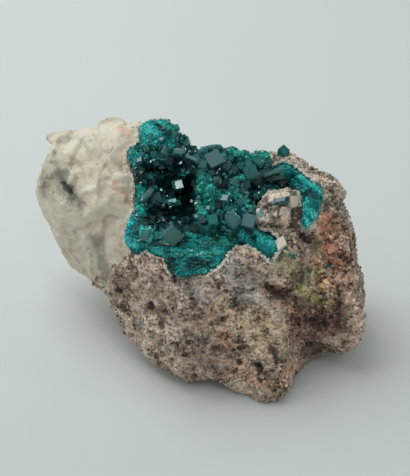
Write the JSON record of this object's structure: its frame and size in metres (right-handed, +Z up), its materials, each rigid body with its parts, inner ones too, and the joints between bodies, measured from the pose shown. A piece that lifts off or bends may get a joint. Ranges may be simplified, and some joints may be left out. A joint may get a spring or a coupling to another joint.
{
  "type": "dioptase specimen on matrix",
  "caption": "Natural rock specimen of cream calcite and iron-stained quartz with a hollow lined by dark green dioptase crystals.",
  "frame": {"origin": "middle of the specimen's bounding box, on the surface it rests on", "axes": "+Z up as displayed, +X to the right along the rock's longest side, -Y towards the viewer of the crystal-lined hollow"},
  "size_m": [0.0803, 0.0558, 0.0488],
  "materials": {
    "rock": "rough granular stone, cream at the left and rusty at the right",
    "dioptase": "polished natural crystal faces, see-through deep green",
    "dioptase_pale": "polished natural crystal faces, see-through emerald green"
  },
  "bodies": {
    "root": {"matrix": "rock", "dioptase_crust": "dioptase", "ridge_crystal": "dioptase_pale"}
  },
  "joints": []
}
